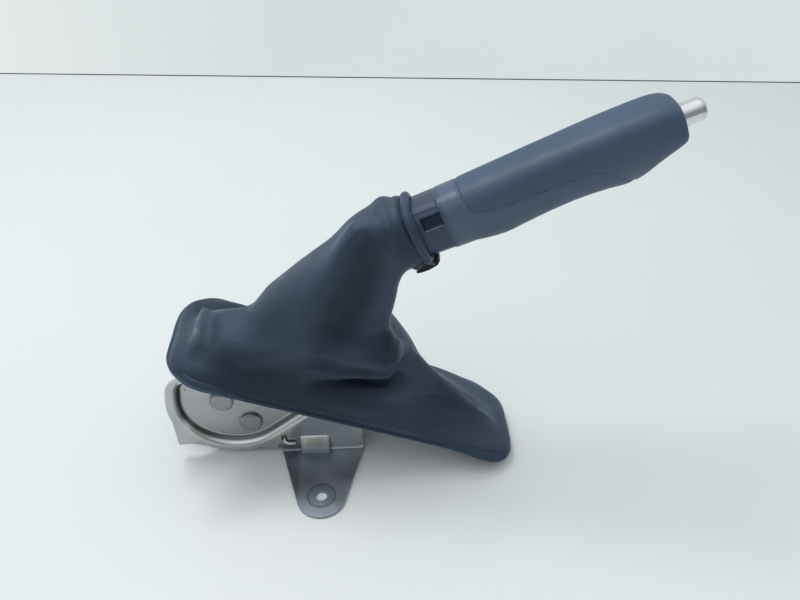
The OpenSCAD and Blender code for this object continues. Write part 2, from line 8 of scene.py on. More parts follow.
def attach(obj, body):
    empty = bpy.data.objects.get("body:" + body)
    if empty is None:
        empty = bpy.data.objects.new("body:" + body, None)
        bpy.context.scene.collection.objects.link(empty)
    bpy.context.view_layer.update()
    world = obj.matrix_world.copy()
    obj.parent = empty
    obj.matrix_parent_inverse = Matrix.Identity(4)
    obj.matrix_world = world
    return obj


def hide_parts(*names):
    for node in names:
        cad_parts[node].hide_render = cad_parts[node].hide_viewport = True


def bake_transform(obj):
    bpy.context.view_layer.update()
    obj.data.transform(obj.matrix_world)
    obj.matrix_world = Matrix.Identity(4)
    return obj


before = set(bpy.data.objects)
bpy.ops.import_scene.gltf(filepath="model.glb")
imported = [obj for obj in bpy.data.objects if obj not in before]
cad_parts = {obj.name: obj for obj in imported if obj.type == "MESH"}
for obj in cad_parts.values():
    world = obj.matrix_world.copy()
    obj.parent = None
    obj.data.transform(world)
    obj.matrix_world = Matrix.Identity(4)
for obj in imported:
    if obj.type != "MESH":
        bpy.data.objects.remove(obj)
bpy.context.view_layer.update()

MM = 0.001
GRIP_ORIGIN = np.array([69.5, 0.0, 190.0])
GRIP_TILT = math.radians(23.7)
HEM_BACK = np.array([-94.5, 104.0])
HEM_FRONT = np.array([139.0, 9.6])
HEM_LENGTH = float(np.linalg.norm(HEM_FRONT - HEM_BACK))
HEM_ALONG = (HEM_FRONT - HEM_BACK) / HEM_LENGTH
HEM_UP = np.array([-HEM_ALONG[1], HEM_ALONG[0]])
HEM_MIDDLE = (HEM_BACK + HEM_FRONT) / 2


# Numbers and curves


def smooth_step(low, high, value):
    t = np.clip((value - low) / (high - low), 0, 1)
    return t * t * (3 - 2 * t)


def quarter_arc(exponent, steps=400):
    t = np.linspace(0, math.pi / 2, steps)
    return np.stack([np.cos(t) ** (2 / exponent), np.sin(t) ** (2 / exponent)], 1)


def even_points(points, count):
    """The polyline walked in equal steps, without its last point."""
    step = np.linalg.norm(np.diff(points, axis=0), axis=1)
    walked = np.concatenate([[0], np.cumsum(step)])
    at = np.linspace(0, walked[-1], count, endpoint=False)
    return np.stack([np.interp(at, walked, points[:, k]) for k in range(points.shape[1])], 1)


def spline_rows(rows, at, count):
    """Rows of numbers read at places between them, by a smooth cubic."""
    rows = np.array(rows, float)
    slope = np.gradient(rows, at, axis=0)
    t = np.linspace(at[0], at[-1], count) if np.isscalar(count) else np.asarray(count, float)
    i = np.clip(np.searchsorted(at, t, side="right") - 1, 0, len(at) - 2)
    h = (at[i + 1] - at[i])[:, None]
    s = (t[:, None] - at[i][:, None]) / h
    near = (2 * s**3 - 3 * s**2 + 1) * rows[i] + (s**3 - 2 * s**2 + s) * h * slope[i]
    return near + (3 * s**2 - 2 * s**3) * rows[i + 1] + (s**3 - s**2) * h * slope[i + 1]


def to_grip(points):
    """Grip coordinates, with x along the grip and z up from it, to the part's frame."""
    x, y, z = points[..., 0], points[..., 1], points[..., 2]
    c, s = math.cos(GRIP_TILT), math.sin(GRIP_TILT)
    return np.stack([x * c - z * s, y, x * s + z * c], -1) + GRIP_ORIGIN


def to_hem(points):
    """Hem coordinates, x along the hem from its middle and z up from its plane, to the part's frame."""
    x, y, z = points[..., 0], points[..., 1], points[..., 2]
    return np.stack([HEM_MIDDLE[0] + HEM_ALONG[0] * x + HEM_UP[0] * z, y,
                     HEM_MIDDLE[1] + HEM_ALONG[1] * x + HEM_UP[1] * z], -1)


def waves(angle, counts, seed):
    """A sum of sines round a ring, with fixed random phases."""
    pick = np.random.default_rng(seed)
    total = np.zeros_like(angle)
    for count in counts:
        total += math.sqrt(1 / len(counts)) * np.sin(count * angle + pick.uniform(0, 2 * math.pi))
    return total


def cloud(points, scale, seed):
    """Smooth noise at each point, for points in millimetres."""
    flat = points.reshape(-1, 3) / scale + seed * 7.31
    return np.array([noise.noise(Vector(p)) for p in flat]).reshape(points.shape[:-1])


# Meshes


def grid_faces(rows, cols, round_cols=True, round_rows=False):
    """Four-sided faces of a grid, joined up along its columns or rows where they run round."""
    faces = []
    for i in range(rows if round_rows else rows - 1):
        for j in range(cols if round_cols else cols - 1):
            k, m = (j + 1) % cols, (i + 1) % rows
            faces.append((i * cols + j, i * cols + k, m * cols + k, m * cols + j))
    return faces


def grid_normals(points):
    """Outward normals of a grid whose columns run round it."""
    across = np.roll(points, -1, 1) - np.roll(points, 1, 1)
    n = np.cross(across, np.gradient(points, axis=0))
    return n / np.maximum(np.linalg.norm(n, axis=-1, keepdims=True), 1e-9)


def piece(name, points, faces, material, body=None, replaces=()):
    """A smooth mesh from points in millimetres, riding on a body."""
    mesh = bpy.data.meshes.new(name)
    mesh.from_pydata((np.asarray(points).reshape(-1, 3) * MM).tolist(), [], faces)
    mesh.validate()
    mesh.polygons.foreach_set("use_smooth", [True] * len(mesh.polygons))
    mesh.materials.append(material)
    obj = bpy.data.objects.new(name, mesh)
    bpy.context.scene.collection.objects.link(obj)
    if body:
        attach(obj, body)
    if replaces:
        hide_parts(*replaces)
    return obj


# Materials


class Nodes:
    """A new material with one Principled shader, and short ways to add nodes to it."""

    def __init__(self, name, roughness, metallic=0.0, specular=0.5):
        self.material = bpy.data.materials.new(name)
        self.material.use_nodes = True
        self.tree = self.material.node_tree
        self.shader = self.tree.nodes["Principled BSDF"]
        self.shader.inputs["Roughness"].default_value = roughness
        self.shader.inputs["Metallic"].default_value = metallic
        self.shader.inputs["Specular IOR Level"].default_value = specular
        self.place = self.add("ShaderNodeTexCoord").outputs["Object"]

    def add(self, kind, **settings):
        node = self.tree.nodes.new(kind)
        for key, value in settings.items():
            if key in node.inputs:
                node.inputs[key].default_value = value
            else:
                setattr(node, key, value)
        return node

    def link(self, out, into):
        self.tree.links.new(out, into)

    def maths(self, operation, *values):
        node = self.add("ShaderNodeMath", operation=operation)
        for value, socket in zip(values, node.inputs):
            self.link(value, socket)
        return node.outputs["Value"]

    def vector(self, operation, link, constant=None, out="Vector"):
        node = self.add("ShaderNodeVectorMath", operation=operation)
        self.link(link, node.inputs[0])
        if constant:
            node.inputs[1].default_value = constant
        return node.outputs[out]

    def split(self, link):
        node = self.add("ShaderNodeSeparateXYZ")
        self.link(link, node.inputs["Vector"])
        return node.outputs["X"], node.outputs["Y"], node.outputs["Z"]

    def noise(self, scale, detail=4.0, roughness=0.55):
        node = self.add("ShaderNodeTexNoise", Scale=scale, Detail=detail, Roughness=roughness)
        self.link(self.place, node.inputs["Vector"])
        return node.outputs["Fac"]

    def cells(self, scale):
        """Distance to the edge of leather-like cells."""
        node = self.add("ShaderNodeTexVoronoi", Scale=scale, feature="DISTANCE_TO_EDGE")
        self.link(self.place, node.inputs["Vector"])
        return node.outputs["Distance"]

    def spread(self, value, low, high, to_low, to_high):
        node = self.add("ShaderNodeMapRange")
        node.inputs["From Min"].default_value = low
        node.inputs["From Max"].default_value = high
        node.inputs["To Min"].default_value = to_low
        node.inputs["To Max"].default_value = to_high
        self.link(value, node.inputs["Value"])
        return node.outputs["Result"]

    def ramp(self, value, stops):
        node = self.add("ShaderNodeValToRGB")
        marks = node.color_ramp.elements
        while len(marks) < len(stops):
            marks.new(0.5)
        for mark, (at, colour) in zip(marks, stops):
            mark.position = at
            mark.color = (*colour, 1)
        self.link(value, node.inputs["Fac"])
        return node.outputs["Color"]

    def mix(self, factor, first, second, blend="MIX"):
        """first or second may be a colour or a link."""
        node = self.add("ShaderNodeMix", data_type="RGBA", blend_type=blend)
        if isinstance(factor, float):
            node.inputs["Factor"].default_value = factor
        else:
            self.link(factor, node.inputs["Factor"])
        for key, value in (("A", first), ("B", second)):
            socket = next(s for s in node.inputs if s.name == key and s.type == "RGBA")
            if isinstance(value, tuple):
                socket.default_value = (*value, 1)
            else:
                self.link(value, socket)
        return next(s for s in node.outputs if s.type == "RGBA")

    def colour(self, value):
        self.link(value, self.shader.inputs["Base Color"])

    def rough(self, value):
        self.link(value, self.shader.inputs["Roughness"])

    def bump(self, *layers):
        """Layers of (height link, distance in metres), the finest last."""
        last = None
        for height, distance in layers:
            node = self.add("ShaderNodeBump", Strength=1.0, Distance=distance)
            self.link(height, node.inputs["Height"])
            if last:
                self.link(last, node.inputs["Normal"])
            last = node.outputs["Normal"]
        self.link(last, self.shader.inputs["Normal"])


def make_leather(name, dark, light, worn_and_lit=None):
    """Worn-and-lit colours show on the ridges as wear with painted light, and the base colours in the valleys
    as painted shade, where the mesh carries that layer; a pale crease line is partly scuff and partly painted
    highlight.
    """
    m = Nodes(name, 0.5, specular=0.5)
    blotch = m.noise(28, 5)
    shade = m.ramp(blotch, [(0.3, dark), (0.7, light)])
    if worn_and_lit:
        # Ridges take painted light with some wear, valleys keep the base colours as painted shade.
        wear_and_shading = m.add("ShaderNodeAttribute", attribute_name="wear_and_shading").outputs["Fac"]
        shade = m.mix(wear_and_shading, shade, m.ramp(blotch, [(0.3, worn_and_lit[0]), (0.7, worn_and_lit[1])]))
        # A pale line along the creases, partly scuff and partly painted highlight.
        scuff_and_highlight = m.add("ShaderNodeAttribute", attribute_name="scuff_and_highlight").outputs["Fac"]
        shade = m.mix(scuff_and_highlight, shade, m.ramp(m.noise(120, 3), [(0.3, worn_and_lit[1]), (0.65, worn_and_lit[2])]))
    m.colour(shade)
    m.rough(m.spread(m.noise(60, 3), 0.3, 0.7, 0.4, 0.54))
    grain = m.spread(m.cells(850), 0.0, 0.25, 0.0, 1.0)
    m.bump((m.noise(140, 3), 0.0005), (grain, 0.00008))
    m.shader.inputs["Specular Tint"].default_value = (0.6, 0.8, 1.0, 1)
    m.shader.inputs["Sheen Weight"].default_value = 0.22
    m.shader.inputs["Sheen Roughness"].default_value = 0.45
    m.shader.inputs["Sheen Tint"].default_value = (0.45, 0.68, 1.0, 1)
    return m.material


def make_soft_plastic(name, dark, light, roughness, axis=None, span=None, other=None):
    """With an axis, the other pair of colours takes over across the span of places along it."""
    m = Nodes(name, roughness, specular=0.4)
    blotch = m.noise(34, 5)
    shade = m.ramp(blotch, [(0.3, dark), (0.7, light)])
    if axis:
        along = m.vector("DOT_PRODUCT", m.place, axis, "Value")
        share = m.spread(along, *span, 0.0, 1.0)
        shade = m.mix(share, shade, m.ramp(blotch, [(0.3, other[0]), (0.7, other[1])]))
    m.colour(shade)
    m.rough(m.spread(m.noise(90, 4), 0.3, 0.7, roughness - 0.06, roughness + 0.06))
    m.bump((m.noise(1900, 2), 0.00006))
    return m.material


def specked(m, shade, dark):
    """Small dark specks over a steel's colour."""
    specks = m.spread(m.noise(260, 2), 0.74, 0.77, 0.0, 1.0)
    return m.mix(specks, shade, tuple(0.35 * c for c in dark))


def make_steel(name, dark, light, roughness):
    m = Nodes(name, roughness, 1.0)
    m.colour(specked(m, m.ramp(m.noise(32, 3, 0.5), [(0.3, dark), (0.72, light)]), dark))
    m.rough(m.spread(m.noise(60, 3, 0.5), 0.3, 0.7, roughness - 0.04, roughness + 0.05))
    m.bump((m.noise(55, 2), 0.00004))
    return m.material


def box_share(m, place, centre, half):
    """0 in the middle of a box, 0.5 at its ends along x and z, 1 at twice its size."""
    off = m.vector("DIVIDE", m.vector("SUBTRACT", place, centre), half)
    x, _, z = m.split(m.vector("ABSOLUTE", off))
    return m.spread(m.maths("MAXIMUM", x, z), 0.0, 2.0, 0.0, 1.0)


# Marks on the plates are factors of their colour, some of them painted shade and painted highlight: the
# places run from 0 to 20 mm from the foot's hole and from the middle plane, and from 0 to twice the size of a
# marked box.
MARK_REACH = 0.02
PLAIN = (1.0, 1.0, 1.0)
# Darker bluish colours of the foot: painted reflection of the dark gaiter above it.
FOOT_REFLECTION = ((0.33, 0.38, 0.43), (0.42, 0.47, 0.52))
FOOT_ROUGHNESS = (0.38, 0.48)
FOOT_TOP = (0.007, 0.013)
FOOT_SIDE = (0.0168, 0.0185)
FOOT_HOLE = (0.0, 0.06, 0.0)
WASHER_MARK = [(0.0, (0.8, 0.82, 0.84)), (0.44, (0.8, 0.82, 0.84)), (0.47, (0.5, 0.51, 0.53)),
               (0.5, (0.5, 0.51, 0.53)), (0.54, PLAIN)]
# Painted shade on the pan's sloped wall, then a painted highlight on its rolled rim.
PAN_SHADE_AND_RIM_HIGHLIGHT = [(0.53, PLAIN), (0.57, (0.26, 0.26, 0.27)), (0.66, (0.26, 0.26, 0.27)),
              (0.73, (1.55, 1.55, 1.53)), (0.81, (1.45, 1.45, 1.43)), (0.88, PLAIN)]
GUSSET_MARK = [(0.0, (1.16, 1.11, 0.94)), (0.28, (1.14, 1.09, 0.92)), (0.42, (1.3, 1.3, 1.27)),
               (0.52, (1.28, 1.28, 1.25)), (0.6, PLAIN), (1.0, PLAIN)]
# Painted shade dimming the bend's highlight left of the gusset.
BEND_SHADE = [(0.0, (0.5, 0.51, 0.53)), (0.32, (0.55, 0.56, 0.58)), (0.55, PLAIN), (1.0, PLAIN)]
MARK_BOXES = [((-0.0055, 0.0215, 0.012), (0.008, 0.02, 0.005), GUSSET_MARK),
          ((-0.0245, 0.02, 0.006), (0.0085, 0.02, 0.0045), BEND_SHADE)]
# Colour of the painted shade in corners.
CORNER_SHADE = (0.07, 0.07, 0.075)


def make_plate_steel(name, dark, light, roughness):
    """Zinc steel with painted shade in its corners and on its pan's wall, a painted highlight on the pan's
    rim, a bluish foot painted as the reflection of the dark gaiter above it and duller in finish, a washer's
    mark, a brownish gusset with paler edges, and painted shade on the bend beside it.
    """
    m = Nodes(name, roughness, 1.0)
    shade = m.ramp(m.noise(32, 3, 0.5), [(0.3, dark), (0.72, light)])
    x, y, z = m.split(m.place)
    side = m.maths("ABSOLUTE", y)
    # The foot takes the painted reflection colours and its own duller finish.
    foot = m.maths("MULTIPLY", m.spread(z, *FOOT_TOP, 1.0, 0.0), m.spread(side, *FOOT_SIDE, 0.0, 1.0))
    shade = m.mix(foot, shade, m.ramp(m.noise(40, 3, 0.5), [(0.3, FOOT_REFLECTION[0]), (0.7, FOOT_REFLECTION[1])]))
    flat = m.add("ShaderNodeMapping", Scale=(1, 1, 0))
    m.link(m.place, flat.inputs["Vector"])
    reach = m.vector("DISTANCE", m.vector("ABSOLUTE", flat.outputs["Vector"]), FOOT_HOLE, "Value")
    # The washer's mark round the hole, and the painted shade and highlight across the pan.
    for gap, mark in ((reach, WASHER_MARK), (side, PAN_SHADE_AND_RIM_HIGHLIGHT)):
        shade = m.mix(1.0, shade, m.ramp(m.spread(gap, 0.0, MARK_REACH, 0.0, 1.0), mark), "MULTIPLY")
    mirrored = m.add("ShaderNodeCombineXYZ")
    for value, socket in zip((x, side, z), mirrored.inputs):
        m.link(value, socket)
    # A brownish gusset with paler edges, and painted shade on the bend beside it.
    for centre, half, mark in MARK_BOXES:
        rub = m.ramp(box_share(m, mirrored.outputs["Vector"], centre, half), mark)
        shade = m.mix(1.0, shade, rub, "MULTIPLY")
    shade = specked(m, shade, dark)
    # Painted shade in the corners, from ambient occlusion.
    corner = m.add("ShaderNodeAmbientOcclusion", Distance=0.004, samples=8)
    m.colour(m.mix(m.spread(corner.outputs["AO"], 0.3, 0.8, 0.85, 0.0), shade, CORNER_SHADE))
    even = m.ramp(m.noise(60, 3, 0.5), [(0.3, (roughness - 0.04,) * 3), (0.7, (roughness + 0.05,) * 3)])
    dull = m.ramp(m.noise(50, 3, 0.5), [(0.3, FOOT_ROUGHNESS[:1] * 3), (0.7, FOOT_ROUGHNESS[1:] * 3)])
    m.rough(m.mix(foot, even, dull))
    m.bump((m.noise(55, 2), 0.00004))
    return m.material


def make_chrome(name):
    m = Nodes(name, 0.07, 1.0)
    m.colour(m.ramp(m.noise(60, 3), [(0.3, (0.7, 0.71, 0.73)), (0.7, (0.78, 0.79, 0.81))]))
    m.rough(m.spread(m.noise(300, 4), 0.3, 0.7, 0.05, 0.12))
    m.bump((m.noise(700, 3), 0.000015))
    return m.material


# Ridge colours, painted light with some wear, then a pale crease colour, partly scuff and partly painted
# highlight.
WORN_AND_LIT = ((0.028, 0.042, 0.066), (0.035, 0.052, 0.081), (0.17, 0.205, 0.24))
# The base colours are painted shade, shown in the fold valleys.
LEATHER = make_leather("leather", (0.006, 0.0085, 0.0158), (0.0085, 0.012, 0.022), WORN_AND_LIT)
# The gaiter's leather in its lit colours: painted light on the rolled hem and neck.
LIT_HEM_LEATHER = make_leather("hem_leather_lit", (0.025, 0.039, 0.063), (0.032, 0.049, 0.077))
GRIP_AXIS = (math.cos(GRIP_TILT), 0.0, math.sin(GRIP_TILT))
GRIP_DOWN = (math.sin(GRIP_TILT), 0.0, -math.cos(GRIP_TILT))
AXIS_START = float(GRIP_ORIGIN @ np.array(GRIP_AXIS)) * MM
DOWN_START = float(GRIP_ORIGIN @ np.array(GRIP_DOWN)) * MM
COVER_COLOURS = ((0.049, 0.082, 0.138), (0.06, 0.097, 0.158))
# The cover turns paler towards its underside: painted light from the bright table below.
COVER_LIT_BELOW = ((0.08, 0.115, 0.165), (0.095, 0.132, 0.186))
COVER_PLASTIC = make_soft_plastic("grip_plastic", *COVER_COLOURS, 0.5, GRIP_DOWN,
                                  (DOWN_START, DOWN_START + 0.02), COVER_LIT_BELOW)
INSERT_COLOURS = ((0.068, 0.103, 0.16), (0.082, 0.12, 0.18))
INSERT_PLASTIC = make_soft_plastic("insert_plastic", *INSERT_COLOURS, 0.52)
SLEEVE_COLOURS = ((0.03, 0.048, 0.087), (0.038, 0.059, 0.102))
SLEEVE_PLASTIC = make_soft_plastic("sleeve_plastic", *SLEEVE_COLOURS, 0.36, GRIP_AXIS,
                                   (AXIS_START + 0.0165, AXIS_START + 0.021), INSERT_COLOURS)
# Darker plastic for the pockets' floors: painted shade in the recess.
POCKET_SHADE = make_soft_plastic("pocket_shade_plastic", (0.012, 0.026, 0.058), (0.017, 0.034, 0.07), 0.5)
BLACK_PLASTIC = make_soft_plastic("black_plastic", (0.009, 0.013, 0.022), (0.014, 0.019, 0.03), 0.36)
BUSH_PLASTIC = make_soft_plastic("bush_plastic", (0.42, 0.36, 0.27), (0.52, 0.46, 0.36), 0.45)
ZINC = make_steel("zinc_steel", (0.46, 0.47, 0.475), (0.58, 0.59, 0.595), 0.24)
PLATE_STEEL = make_plate_steel("plate_steel", (0.36, 0.37, 0.37), (0.46, 0.47, 0.47), 0.24)
RIVET_STEEL = make_steel("rivet_steel", (0.26, 0.27, 0.28), (0.34, 0.35, 0.36), 0.34)
DARK_STEEL = make_steel("dark_steel", (0.12, 0.12, 0.125), (0.2, 0.2, 0.21), 0.42)
SPRING_STEEL = make_steel("spring_steel", (0.72, 0.72, 0.72), (0.84, 0.84, 0.83), 0.42)
CHROME = make_chrome("chrome")


# Gaiter

# Each row: back x and z, front x and z, half width, roundness of the front's near and far half and of
# the back, front and back shift in y.
BOOT_ROWS = [
    (-95.9, 99.6, 136.8, 5.4, 38.9, 6.4, 6.4, 6.0, 0.0, 0.0),
    (-94.7, 104.0, 139.2, 9.6, 39.1, 5.2, 5.2, 5.2, 0.0, 0.0),
    (-91.8, 107.5, 131.0, 16.0, 37.8, 2.6, 2.8, 4.2, -4.0, -1.0),
    (-86.0, 110.5, 119.0, 28.5, 36.4, 1.5, 1.7, 3.1, -6.0, -2.0),
    (-66.0, 118.0, 96.0, 54.5, 34.4, 1.3, 1.7, 2.6, -9.0, -2.0),
    (-44.0, 127.0, 75.5, 80.0, 32.6, 1.45, 2.1, 2.4, -9.0, 0.0),
    (-27.0, 142.0, 61.0, 101.0, 30.0, 1.9, 2.2, 2.3, -3.0, 0.0),
    (-19.0, 149.0, 50.5, 113.0, 28.4, 2.2, 2.2, 2.3, 0.0, 0.0),
    (-10.0, 156.5, 49.5, 122.0, 27.0, 2.3, 2.3, 2.3, 0.0, 0.0),
    (11.0, 172.0, 53.5, 140.0, 24.0, 2.4, 2.4, 2.4, 0.0, 0.0),
    (34.5, 194.5, 59.5, 157.5, 22.0, 2.5, 2.5, 2.5, 0.0, 0.0),
    (54.5, 205.0, 75.4, 165.4, 20.2, 2.5, 2.5, 2.5, 0.0, 0.0),
]
BOOT_UP = 110
BOOT_ROUND = 288
SKIN = 1.3
# How far the end at the neck is tucked in: share of its size and step along the grip
NECK_TUCK = [(0.97, 1.8), (0.93, 3.2), (0.88, 4.4)]
# Width and full height of the creases' pale line, partly scuff and partly painted highlight.
CREASE_HIGHLIGHT_WIDTH = 2.2
CREASE_HIGHLIGHT_FULL_HEIGHT = 6
# Spots of painted shade: x, y, z, radius and share
SHADE_SPOTS = [(48, -20, 106, 14, 1.0), (95, 14, 52, 24, 0.95)]
CORNER_LIFT = 9
FRONT_SWING = -6.5
FRONT_REACH = 2.5

# Each fold: its kind, the direction of its steep side and how narrow that side is, then points of
# x, y, z, height and width along it.
EVEN = (0, 0, 0)
DOWN = (0, 0, -1)
UP = (0, 0, 1)
FAR = (0, 1, 0)
FRONT = (1, 0, 0)
FOLDS = [
    ("crease", EVEN, 1, [(-71, 14, 115, 4, 6), (-73, 9, 115, 6.5, 5.5), (-75, 1, 114.5, 7, 4.5),
                         (-76, -11, 114, 6, 4), (-81, -20, 110, 1.5, 4)]),
    ("roll", EVEN, 1, [(-67, -4, 117, -2, 7), (-68, -17, 115, -3, 7), (-74, -26, 108, -1.5, 7)]),
    ("crease", EVEN, 1, [(-72, 9, 116, 5.5, 4.5), (-60, 7, 120, 5, 4.5), (-47, 3, 126, 2.5, 4)]),
    ("roll", EVEN, 1, [(-76, 22, 110, -5, 9), (-64, 21, 115, -8.5, 11), (-52, 18, 121, -8, 11),
                       (-41, 9, 129, -3, 9)]),
    ("roll", FRONT, 0.5, [(32, -9, 188, 3.5, 7), (23, -14, 178, 3.5, 8), (16, -18, 167, 3, 10),
                          (8, -22, 155, 2.5, 12), (2, -26, 140, 2, 12), (-5, -29, 124, 1, 12)]),
    ("roll", EVEN, 1, [(42, -17, 188, -3, 8), (37, -22, 173, -6, 10), (30, -24, 154, -7, 13),
                       (20, -28, 134, -7, 15), (14, -31, 118, -4, 14)]),
    ("roll", EVEN, 1, [(55, -19, 176, 2, 6.5), (54, -17, 160, 4, 7), (51, -14, 142, 4.5, 7),
                       (48, -14, 124, 5.5, 7.5), (47, -17, 110, 7, 8), (49, -18, 100, 6.5, 7)]),
    ("roll", DOWN, 0.4, [(34, -7, 190, 1.5, 6), (40, -12, 193, 2.5, 6), (47, -16, 193, 2, 6)]),
    ("roll", EVEN, 1, [(47, -5, 199, -1, 3), (48, -11, 198, -3, 3), (50, -17, 194, -3, 3),
                       (53, -20, 185, -2, 3)]),
    ("roll", DOWN, 0.38, [(12, -32, 109, 2, 9), (25, -31, 105, 4, 9), (38, -27, 99, 5, 9),
                          (47, -23, 94, 5, 8), (52, -19, 95, 4, 7)]),
    ("crease", EVEN, 1, [(54, -16, 105, 3, 3), (60, -11, 98, 3, 3)]),
    ("roll", EVEN, 1, [(-8, -33, 100, 1, 4), (5, -33, 100, 1.5, 4), (21, -32, 99, 1.5, 4)]),
    ("roll", DOWN, 0.5, [(8, -34, 96, 1.5, 4.5), (21, -33, 94, 3, 4.5), (37, -28, 89, 3.5, 4.5),
                         (49, -24, 83, 3, 4.5)]),
    ("roll", UP, 0.6, [(-6, -35, 88, -1, 6), (11, -35, 85, -8, 6), (29, -32, 82, -10, 6),
                       (47, -26, 77, -9, 6), (55, -21, 81, -5, 7)]),
    ("roll", EVEN, 1, [(10, -37, 71, 1, 9), (30, -34, 69, 2, 9), (54, -26, 62, 2, 10),
                       (68, -23, 55, 1, 10)]),
    ("crease", FAR, 0.7, [(65, -9, 94, 0.5, 3.5), (79, -9, 75, 2.5, 3.5), (95, -9, 56, 3.5, 3.5),
                          (109, -8, 39, 3, 3.5), (124, -5, 24, 1.5, 3.5)]),
    ("roll", EVEN, 1, [(73, 6, 78, -2, 7), (85, 4, 62, -4, 7), (98, 3, 47, -5, 8), (113, 2, 32, -3, 8)]),
    ("roll", EVEN, 1, [(-43, -29, 109, 1.5, 8), (-23, -29, 113, 2, 8), (-4, -31, 117, 1.5, 8)]),
    ("roll", EVEN, 1, [(-45, -33, 100, -1.5, 8), (-28, -33, 100, -2.5, 8), (-12, -34, 96, -2, 8)]),
    ("roll", UP, 0.7, [(-30, 35, 93, -1, 7), (0, 34, 89, -5, 7), (28, 31, 84, -7, 7), (48, 25, 77, -5, 7)]),
    ("roll", EVEN, 1, [(44, 16, 186, -3, 9), (38, 22, 166, -5, 11), (30, 26, 142, -5, 13),
                       (22, 30, 118, -2, 12)]),
    ("roll", DOWN, 0.4, [(0, 32, 106, 1.5, 9), (25, 30, 103, 4, 9), (46, 24, 95, 5, 8)]),
]


def on_hem(points):
    """Places along the hem from its back end and up from its plane."""
    flat = points[..., [0, 2]] - HEM_BACK
    return flat @ HEM_ALONG, flat @ HEM_UP


def settle(points):
    """The soft rim lifts at its far back corner and swings towards the near side at its front end."""
    along, up = on_hem(points)
    side = points[..., 1]
    low = 1 - smooth_step(5, 55, up)
    corner = smooth_step(100, 25, along) * smooth_step(-8, 38, side)
    lift = CORNER_LIFT * corner * (1 - smooth_step(1, 17, up))
    swing = FRONT_SWING * smooth_step(195, 255, along) * low
    reach = FRONT_REACH * smooth_step(205, 255, along) * low
    moved = points.copy()
    moved[..., 0] += HEM_UP[0] * lift + HEM_ALONG[0] * reach
    moved[..., 1] += 0.4 * lift + swing
    moved[..., 2] += HEM_UP[1] * lift + HEM_ALONG[1] * reach
    return moved


def boot_ring(row):
    bx, bz, fx, fz, width, near_e, far_e, back_e, front_y, back_y = row
    half = math.hypot(fx - bx, fz - bz) / 2
    along = np.array([fx - bx, fz - bz]) / (2 * half)
    quarter = BOOT_ROUND // 4
    near = quarter_arc(near_e) * [half, width]
    far = quarter_arc(far_e) * [half, width]
    back = quarter_arc(back_e) * [half, width]
    sides = [far, back[::-1] * [-1, 1], back * [-1, -1], near[::-1] * [1, -1]]
    flat = np.concatenate([even_points(side, quarter) for side in sides])
    lean = np.clip(flat[:, 0] / half, -1, 1)
    shift = np.where(lean > 0, front_y, back_y) * lean**2
    return np.stack([(bx + fx) / 2 + along[0] * flat[:, 0], shift + flat[:, 1],
                     (bz + fz) / 2 + along[1] * flat[:, 0]], 1)


def boot_base():
    rows = np.array(BOOT_ROWS)
    step = np.diff(rows[:, :4], axis=0)
    length = (np.hypot(step[:, 0], step[:, 1]) + np.hypot(step[:, 2], step[:, 3])) / 2
    at = np.concatenate([[0], np.cumsum(length)])
    return np.stack([boot_ring(row) for row in spline_rows(rows, at, BOOT_UP)]), at[-1]


def nearest_on(stops, flat):
    """For each point, a fold's values at its nearest place and the distance to it."""
    stops = np.array(stops, float)
    line = spline_rows(stops, np.arange(len(stops), dtype=float), 12 * len(stops))
    gap = np.linalg.norm(flat[:, None, :] - line[None, :, :3], axis=2)
    near = gap.argmin(1)
    return line[near], gap[np.arange(len(flat)), near]


def fold_height(points):
    """How far each point stands out because of the folds."""
    flat = points.reshape(-1, 3)
    height = np.zeros(len(flat))
    for kind, steep, narrow, stops in FOLDS:
        at, gap = nearest_on(stops, flat)
        to_steep = (flat - at[:, :3]) @ np.array(steep, float)
        share = smooth_step(-0.25, 0.25, to_steep / np.maximum(gap, 1e-6))
        reach = gap / (at[:, 4] * (1 + (narrow - 1) * share))
        fall = np.exp(-reach**2) if kind == "roll" else np.exp(-np.sqrt(reach**2 + 0.02) * 1.5)
        height += at[:, 3] * fall
    return height.reshape(points.shape[:-1])


def crease_highlight(points):
    """How much of the pale line of a sharp crease each point carries, partly scuff and partly painted
    highlight.
    """
    flat = points.reshape(-1, 3)
    most = np.zeros(len(flat))
    for kind, _, _, stops in FOLDS:
        if kind == "crease":
            at, gap = nearest_on(stops, flat)
            fall = np.exp(-(gap / CREASE_HIGHLIGHT_WIDTH) ** 2)
            most = np.maximum(most, fall * np.clip(at[:, 3] / CREASE_HIGHLIGHT_FULL_HEIGHT, 0, 1))
    return most.reshape(points.shape[:-1])


def painted_shade(points):
    """How much painted shade each point takes in place of the ridges' painted light: the sides above the hem,
    and some spots.
    """
    along, up = on_hem(points)
    top = 20 + 0.2 * along
    most = 0.85 * smooth_step(10, 28, np.abs(points[..., 1])) * (1 - smooth_step(top - 10, top + 8, up))
    most *= smooth_step(5, 40, along) * (1 - smooth_step(115, 165, along))
    for x, y, z, radius, share in SHADE_SPOTS:
        gap = np.linalg.norm(points - [x, y, z], axis=-1) / radius
        most = np.maximum(most, share * np.exp(-gap**2))
    return most


